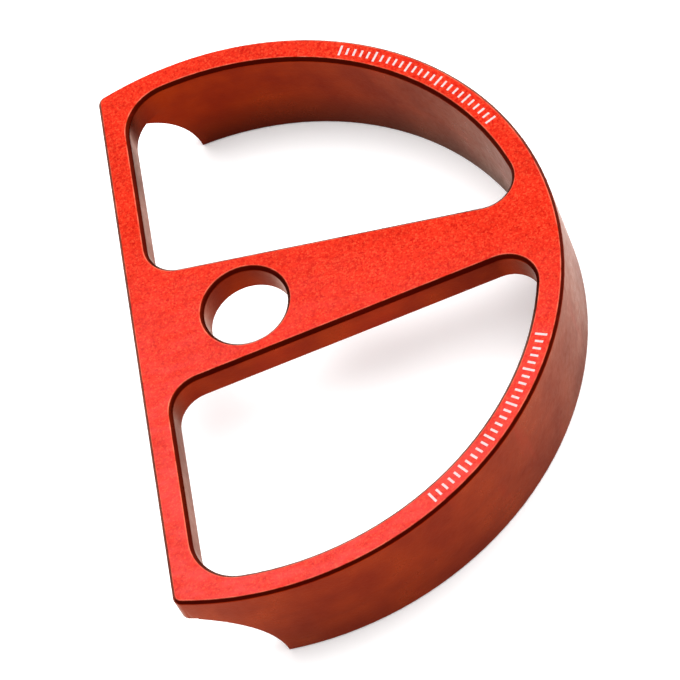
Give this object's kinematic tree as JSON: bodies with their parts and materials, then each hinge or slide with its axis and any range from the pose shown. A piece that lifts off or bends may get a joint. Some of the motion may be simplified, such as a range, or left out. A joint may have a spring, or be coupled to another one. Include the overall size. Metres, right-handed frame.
{
  "type": "descender frame",
  "caption": "D-shaped machined aluminium descender frame with a deep curved rim, a tapering centre spoke with an eye, and two open windows.",
  "frame": {"origin": "below the middle of the outline, at the height of the rim's lower face", "axes": "+Z out of the flat top face, +X from the straight bar to the crown of the rim, Y along the straight bar"},
  "size_m": [0.0636, 0.0954, 0.0162],
  "materials": {
    "anodised_frame": "bead-blasted, red anodised",
    "white_marking": "matt white laser mark"
  },
  "bodies": {
    "root": {"frame": "anodised_frame", "left_marking": "white_marking", "right_marking": "white_marking"}
  },
  "joints": []
}
